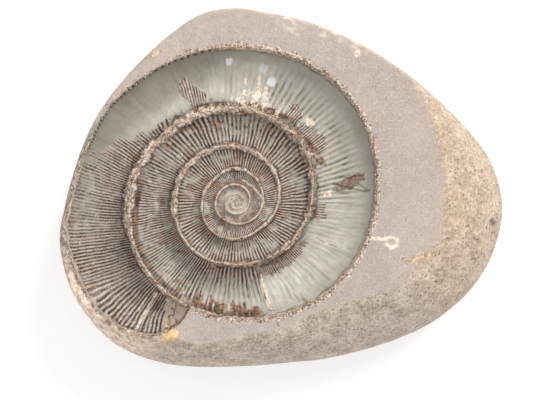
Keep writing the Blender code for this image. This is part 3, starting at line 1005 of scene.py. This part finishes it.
def rib_height(at, shell):
    """Height of the ribs: strong and crisp on shell, soft and fading outwards on the bare calcite."""
    at.doubled = at.is_outer * ((at.degrees < 120) | (at.degrees > BARE_FROM)) * (shell > 0.5)
    at.wave = np.cos(2 * np.pi * at.phase * (1 + at.doubled))
    at.strength = 1 + 0.5 * lattice_noise(np.round(at.phase), 0 * at.x, 0 * at.x, 101)
    at.near_seams = ease(at.share / 0.05) * ease((1 - at.share) / 0.06)
    pitch = 2 * np.pi * at.radius / rib_count(at.turns)
    soft_height = SOFT_RIB * pitch * (1 - rise(at.share, 0.45, 0.45))
    crisp_height = CRISP_RIB * pitch * at.strength * (0.75 + 0.5 * face_grain(at.x, at.y, 1.5, 93, 2))
    crisp_height = crisp_height * (1 - 0.5 * at.doubled)
    quiet = rise(at.degrees, 284, 4) * 0.8
    quiet = quiet + 0.6 * window(at.degrees, 74, 96, 12) + window(at.degrees, *PLAIN_RIM, 8)
    at.quiet = np.clip(quiet, 0, 1) * at.is_outer
    crisp = np.sign(at.wave) * np.abs(at.wave) ** 0.7
    ribs = shell * crisp_height * crisp + (1 - shell) * soft_height * at.wave * (1 - at.quiet)
    return ribs * at.near_seams * at.ribbed


def whorl_height(at, shell, dark):
    """The split face less the trough's depth, plus ribs, crumbly ridges and grain."""
    at.rough = face_grain(at.x, at.y, 0.9, 95, 4)
    small = np.clip(at.radius / 20, 0.2, 1)
    depth = TROUGH_DEPTH * at.width * trough_profile(at.share, RISE_ROUNDNESS[at.is_outer])
    worn = edge_drop(at.turns) * at.share**2 * at.is_outer
    crests = crest_height(at.turns - 1, at.inner) * (1 - at.share)
    crests = crests + crest_height(at.turns, at.outer) * at.share
    wall = depth * (1 - 0.6 * at.inner_ridge) * (1 - 0.4 * at.outer_ridge)
    coat_thickness = np.clip(COAT_SHARE * at.radius, *COAT_LIMITS)
    ridge = np.clip(at.outer_ridge + at.inner_ridge, 0, 1)
    z = SPLIT_HEIGHT + crests - wall - worn + rib_height(at, shell)
    z = z + coat_thickness * shell * at.near_seams
    z = z + 0.06 * at.rough * shell * at.near_seams * small
    z = z + RIDGE_ROUGHNESS * ridge * at.rough * at.near_seams * small
    z = z - 0.3 * dark * at.near_seams * at.is_outer
    return np.minimum(z, SPLIT_HEIGHT + RIM_RISE)


def add_painted_light_and_rust(at, masks):
    """Masks of painted shade between the ribs, painted shadow along the ridges' feet, a dot for each rib cut
    by the plain rim, rust, and painted highlights on the shell's rib crests.
    """
    x, y, degrees = at.x, at.y, at.degrees
    shell = masks["shell"]
    # Painted shade in the grooves between the ribs
    groove = ease((-0.05 - at.wave) / 0.8) * at.strength * (0.85 + face_grain(x, y, 1.3, 92))
    # Painted shadow: a dark line at the foot of each ridge
    foot = np.maximum(0.95 * at.inner_foot, 0.7 * at.outer_foot * at.crusted * at.unworn)
    # A band inside the middle whorl's outer ridge at the left: painted shadow laid on in patches, and brown
    # through the rust mask
    left_groove = window(degrees, 166, 238, 16) * (at.outer > 20) * (1 - at.is_outer)
    left_groove = left_groove * window(at.from_outer - at.outer_half, 0.1, 1.5, 0.5)
    patchy = ease((0.25 + face_grain(x, y, 1.3, 107, 4)) / 0.6)
    foot = np.maximum(foot, 0.9 * left_groove * patchy)
    foot = foot * (0.7 + 0.9 * face_grain(x, y, 2.2, 94)) * (1 - 0.6 * masks["stone"])
    cut_ribs = rise(at.wave * at.strength, 0.1, 0.3) * window(at.from_outer + 0.2 * at.rough, 0, 0.8, 0.2)
    cut_ribs = cut_ribs * window(degrees, *PLAIN_RIM, 4) * at.is_outer
    # Painted shadow: the shadow patches, darkest in the grooves
    shadow = masks.pop("shadow") * (0.35 + 0.65 * groove)
    masks["dark"] = strongest(masks["dark"], shadow, foot, cut_ribs)
    stain = hump(np.minimum(at.from_inner, at.from_outer), 0, 2.2) * shell
    stain = 0.7 * stain * rise(face_grain(x, y, 1.8, 96), 0.05, 0.3)
    rust = masks["rust"] * (1 + 1.2 * face_grain(x, y, 1.2, 88))
    masks["rust"] = strongest(rust, stain, 0.8 * left_groove * (1 - 0.6 * patchy))
    fading = 1 - rise(at.share, 0.45, 0.4) * at.is_outer
    covered = shell + 0.4 * (1 - shell) * fading * (1 - at.quiet)
    masks["groove"] = 1.15 * covered * groove * at.near_seams * at.ribbed * (1 - 0.4 * at.doubled)
    # Painted highlight: the shell's rib crests made lighter
    masks["crest"] = shell * rise(at.wave, 0.25, 0.6) * at.near_seams * at.ribbed


def add_shade(at, masks):
    """Mask of painted shade and darker calcite: painted shade on the upper troughs' far side, and darker
    strokes that run along the ribs.
    """
    degrees = at.degrees
    # Painted shade: the far side of the trough under the top and upper-right rim
    shaded = 0.85 * window(degrees, 96, 166, 20) * rise(at.share, 0.25, 0.35)
    shaded = shaded + 0.45 * window(degrees, 10, 96, 20) * rise(at.share, 0.65, 0.3)
    strokes = rise(face_grain(1.3 * degrees, 0.5 * at.radius, 1.4, 105), 0.05, 0.5)
    lower_right = rise(degrees, BARE_FROM, 3) + 0.5 * window(degrees, OPEN_END, BARE_FROM, 2)
    smudge = 1.2 * hump(degrees, 304, 9) * hump(at.from_outer, 2.6, 1.8)
    strokes = strokes * (0.45 * lower_right + smudge + 0.3 * window(degrees, *PLAIN_RIM, 12))
    masks["shade_side"] = np.clip(shaded + strokes, 0, 1) * (1 - masks["shell"]) * at.is_outer


def add_crumbs(at, masks):
    """Masks of the crumbly ridges: cream on crests and at the upper left, dull on the right."""
    x, y, degrees = at.x, at.y, at.degrees
    crumb = np.clip(at.inner_ridge + at.outer_ridge * at.crusted, 0, 1)
    dull = 1 - window(degrees, 76, 240, 24)
    dull = dull * ease((0.35 + face_grain(x, y, 1.4, 108)) / 0.5) * (at.radius > 14)
    masks["dull"] = (at.inner_ridge + at.outer_ridge * (1 - at.is_outer)) * dull
    crest = hump(at.from_inner, 0, CREST_LINE) * (at.inner < WIDEST_CREST)
    crest = np.maximum(crest, hump(at.from_outer, 0, CREST_LINE) * (at.outer < WIDEST_CREST))
    crest = crest * ease((0.35 + at.rough) / 0.3)
    bleached = crumb * window(degrees, 80, 200, 40) * ease((0.1 + at.rough) / 0.5)
    masks["cream"] = strongest(masks["cream"], crest, 0.85 * bleached)
    reach = 0.3 + face_grain(x, y, 1, 106) - np.abs(at.from_inner - at.inner_half) / 0.8
    loose = ease(reach / 0.4) * window(degrees, 20, 196, 16)
    loose = loose * at.is_outer * ease(at.from_inner / 0.6)
    masks["crumb"] = strongest(crumb, line_marks(CRUMBLE_LINES, x, y) * at.is_outer, loose)


def whorl(name, first, last, columns, rows, is_outer):
    """A stretch of the spiral as a closed band: ribbed trough above, flat hidden underside below."""
    at = whorl_grid(first, last, columns, rows, is_outer)
    flat = 0 * at.x

    # What covers the calcite; shell breaks off rib by rib
    waver = LONG_WAVER * face_grain(at.x, at.y, 3.5, 91, 2) + SHORT_WAVER * face_grain(at.x, at.y, 1.1, 90, 2)
    waver = waver * (1 - 0.7 * is_outer * fall(at.degrees, 122, 12))
    at.phase = rib_phase(at.turns, at.share) + waver
    at.torn = TEAR * lattice_noise(np.round(at.phase), flat, flat, 99)
    masks = outer_cover(at) if is_outer else inner_cover(at)
    at.ribbed = 1 - np.maximum(masks["stone"], masks.pop("smooth"))

    add_ridges(at)
    z = whorl_height(at, masks["shell"], masks["dark"])
    add_painted_light_and_rust(at, masks)
    add_shade(at, masks)
    add_crumbs(at, masks)
    points, faces = close_band(at.x, at.y, z, at.angle, at.outer - BACK_INSET * is_outer, at.inner)
    for key in masks:
        masks[key] = np.concatenate([masks[key] + flat, 0 * at.angle, 0 * at.angle], axis=1)
    piece = add_surface(name, points, faces, masks)
    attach(piece, "root")
    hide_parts("ammonite")
    return piece


def close_band(x, y, z, angle, outer, inner):
    """Points and faces of a band with two hidden rows under it, closed all round and at both ends."""
    below = SPLIT_HEIGHT - BACK_DEPTH
    under_radius = np.concatenate([outer, inner], axis=1)
    x = np.concatenate([x, under_radius * np.cos(angle)], axis=1) + SPIRAL_CENTRE[0]
    y = np.concatenate([y, under_radius * np.sin(angle)], axis=1) + SPIRAL_CENTRE[1]
    z = np.concatenate([z, below + 0 * under_radius], axis=1)
    around = x.shape[1]
    columns = x.shape[0] - 1
    column = np.arange(columns)[:, None]
    row = np.arange(around)[None, :]
    after = (row + 1) % around
    corners = [column * around + row, column * around + after]
    corners += [(column + 1) * around + after, (column + 1) * around + row]
    faces = np.stack(np.broadcast_arrays(*corners), axis=-1).reshape(-1, 4).tolist()
    faces.append(np.arange(around)[::-1].tolist())
    faces.append((columns * around + np.arange(around)).tolist())
    return np.stack([x, y, z], axis=-1).reshape(-1, 3), faces


def fossil_material():
    """Grey-green calcite under torn brown shell, with cream seams, rust and chalk; painted shade in the
    grooves, under the upper rim and along the ridges' feet, and painted highlights on the rib crests.
    """
    made, tree, shader = start_material("shell_and_calcite", 0.4)
    light = mottled(tree, 260, 0.35, 0.65, (0.46, 0.445, 0.38), (0.57, 0.55, 0.48))
    bare = layered(
        tree,
        mottled(tree, 110, 0.35, 0.65, (0.385, 0.36, 0.305), (0.475, 0.445, 0.38)),
        ("pale", 1, light),
        ((speckle, 900, 0.55, 0.7), 0.35, (0.56, 0.53, 0.45)),
        # Painted shade under the upper rim, with darker strokes of the calcite's own tone
        ("shade_side", 0.6, (0.17, 0.155, 0.12)),
    )
    brown = layered(
        tree,
        mottled(tree, 450, 0.38, 0.62, (0.175, 0.135, 0.112), (0.33, 0.265, 0.23)),
        # Painted highlight on the rib crests
        ("crest", 0.7, (0.74, 0.645, 0.565)),
        ((dots, 1500, 0.25, 0.6), 0.75, (0.62, 0.48, 0.35)),
        ((dots, 1900, 0.3, 0.6), 0.7, (0.34, 0.19, 0.1)),
        ((dots, 2100, 0.3, 0.6), 0.8, (0.07, 0.05, 0.04)),
    )
    matrix = mottled(tree, 300, 0.35, 0.65, (0.46, 0.385, 0.32), (0.58, 0.47, 0.37))
    matrix = layered(tree, matrix, ((dots, 1900, 0.35, 0.6), 0.6, (0.24, 0.18, 0.14)))
    rusty = mottled(tree, 1100, 0.4, 0.6, (0.045, 0.02, 0.012), (0.34, 0.15, 0.07))
    crumb = layered(
        tree,
        mottled(tree, 800, 0.44, 0.56, (0.19, 0.115, 0.075), (0.62, 0.49, 0.39)),
        ((dots, 1200, 0.42, 0.75), 0.95, (0.9, 0.78, 0.65)),
        ((dots, 1300, 0.22, 0.7), 0.9, (0.48, 0.26, 0.12)),
        ((dots, 1500, 0.34, 0.7), 0.95, (0.05, 0.03, 0.02)),
    )
    cream = mottled(tree, 1300, 0.36, 0.52, (0.46, 0.33, 0.24), (0.84, 0.72, 0.59))
    colour = layered(
        tree,
        bare,
        ("shell", 1, brown),
        ("stone", 1, matrix),
        # Painted shade: near black in the grooves between the ribs
        ("groove", 1, (0.035, 0.023, 0.017)),
        ("rust", 0.85, rusty),
        # dark: cracks, a dot for each rib cut by the plain rim, and painted shadow at the ridges' feet and in
        # the shadow patches
        ("dark", 0.88, (0.035, 0.024, 0.018)),
        ("crumb", 0.95, crumb),
        ("dull", 0.6, (0.15, 0.085, 0.05)),
        ("cream", 0.92, cream),
        ("chalk", 1, (0.76, 0.77, 0.78)),
    )
    tree.links.new(colour, shader.inputs["Base Color"])
    gloss = maths(tree, "MULTIPLY_ADD", mask(tree, "shell"), 0.25)
    gloss.node.inputs[2].default_value = 0.42
    tree.links.new(gloss, shader.inputs["Roughness"])
    height = maths(tree, "MULTIPLY", speckle(tree, 1400, 0.25, 0.75), mask(tree, "shell"))
    height = maths(tree, "ADD", height, maths(tree, "MULTIPLY", speckle(tree, 1200, 0.3, 0.7), 0.15))
    add_bump(tree, shader, height, 0.00012)
    return made


FOSSIL = fossil_material()
OUTER_COLUMNS = 1270
OUTER_ROWS = 72
MIDDLE_COLUMNS = 1100
MIDDLE_ROWS = 54
INNER_COLUMNS = 3300
INNER_ROWS = 26
OUTER_START = SPIRAL_END - 1
MIDDLE_START = SPIRAL_END - 2
INNER_START = -6
whorls = (
    whorl("outer_whorl", OUTER_START, SPIRAL_END - 0.001, OUTER_COLUMNS, OUTER_ROWS, 1),
    whorl("middle_whorl", MIDDLE_START, OUTER_START, MIDDLE_COLUMNS, MIDDLE_ROWS, 0),
    whorl("inner_whorls", INNER_START, MIDDLE_START, INNER_COLUMNS, INNER_ROWS, 0),
)
for band in whorls:
    band.data.materials.append(FOSSIL)

# The first chamber: the tiny bead at the middle of the spiral, of the same mineral.
CHAMBER_RADIUS = 0.5
CHAMBER_COLUMNS = 48
CHAMBER_ROWS = 14


def first_chamber():
    """A flat bead: a half circle carried round the spiral's centre, its height squashed."""
    turn = np.arange(CHAMBER_COLUMNS)[:, None] / CHAMBER_COLUMNS * 2 * np.pi
    fall = np.linspace(0.04, np.pi - 0.04, CHAMBER_ROWS)[None, :]
    x = SPIRAL_CENTRE[0] + CHAMBER_RADIUS * np.sin(fall) * np.cos(turn)
    y = SPIRAL_CENTRE[1] + CHAMBER_RADIUS * np.sin(fall) * np.sin(turn)
    z = SPLIT_HEIGHT - 0.15 + 0.5 * CHAMBER_RADIUS * (np.cos(fall) - 1) + 0 * turn
    points = np.stack([x, y, z], axis=-1).reshape(-1, 3)
    faces = closed_faces(CHAMBER_COLUMNS, CHAMBER_ROWS)
    plain = np.zeros(len(points))
    return add_surface("first_chamber", points, faces, {"pale": plain + 1, "cream": plain + 0.5})


chamber = first_chamber()
chamber.data.materials.append(FOSSIL)
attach(chamber, "root")
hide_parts("ammonite")

# The grains on the seams and the rim: tiny broken crystals of cream and brown calcite, stuck where
# the two halves of the stone came apart.
GRAIN_COUNT = 6000
GRAIN_SIZES = (0.07, 0.2)
GRAIN_SPREAD = 0.28
CREAM_SHARE = 0.68


def seam_grains():
    """Eight-sided grains set by chance along the spiral seam, more where it is longer, turned at random."""
    chance = np.random.default_rng(17)
    track = np.linspace(-3, APERTURE_START, 6000)
    length = np.cumsum(seam_radius(track) ** 1.15)
    turns = np.interp(chance.random(GRAIN_COUNT) * length[-1], length, track)
    on_rim = turns > SPIRAL_END - 1
    radius = np.where(on_rim, ragged_seam(turns, True), ragged_seam(turns, False))
    spread = GRAIN_SPREAD * np.clip(radius / 28, 0.25, 1)
    size = GRAIN_SIZES[0] + np.diff(GRAIN_SIZES) * chance.random(GRAIN_COUNT) ** 2
    size = size * (0.4 + 0.6 * spread / GRAIN_SPREAD)
    across = chance.normal(0, 1, GRAIN_COUNT) * spread
    across = across + np.where(on_rim, 0.12, 0)
    drop = np.where(across < 0, 1.1 * np.abs(across), np.where(on_rim, 0.25, 1.6) * np.abs(across))
    height = SPLIT_HEIGHT + crest_height(turns, radius) - drop - on_rim * edge_drop(turns)
    height = np.minimum(height, SPLIT_HEIGHT + RIM_RISE - size)
    angle = 2 * np.pi * turns
    centre_x = SPIRAL_CENTRE[0] + (radius + across) * np.cos(angle)
    centre_y = SPIRAL_CENTRE[1] + (radius + across) * np.sin(angle)
    centre = np.stack([centre_x, centre_y, height], axis=-1)
    tips = np.array([(1, 0, 0), (0, 1, 0), (-1, 0, 0), (0, -1, 0), (0, 0, 1), (0, 0, -1)], dtype=float)
    stretch = 0.6 + 0.7 * chance.random((GRAIN_COUNT, 1, 3))
    turned = np.linalg.qr(chance.normal(size=(GRAIN_COUNT, 3, 3)))[0]
    turned = turned * np.sign(np.linalg.det(turned))[:, None, None]
    corners_of = np.einsum("gij,gtj->gti", turned, tips[None] * stretch) * size[:, None, None]
    points = (centre[:, None, :] + corners_of).reshape(-1, 3)
    points[:, 2] = np.minimum(points[:, 2], SPLIT_HEIGHT + RIM_RISE)
    sides = np.array([(0, 1, 4), (1, 2, 4), (2, 3, 4), (3, 0, 4), (1, 0, 5), (2, 1, 5), (3, 2, 5), (0, 3, 5)])
    faces = (np.arange(GRAIN_COUNT)[:, None, None] * 6 + sides[None]).reshape(-1, 3).tolist()
    kind = np.repeat(chance.random(GRAIN_COUNT), 6)
    plain = np.zeros(len(points))
    masks = {
        "shell": plain + 1,
        "cream": (kind < CREAM_SHARE) * 1,
        "rust": (kind > 0.9) * 1,
        "dark": (kind > CREAM_SHARE) * (kind < 0.8) * 0.6,
    }
    return add_surface("seam_grains", points, faces, masks)


grains = seam_grains()
grains.data.shade_flat()
grains.data.materials.append(FOSSIL)
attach(grains, "root")
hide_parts("ammonite")
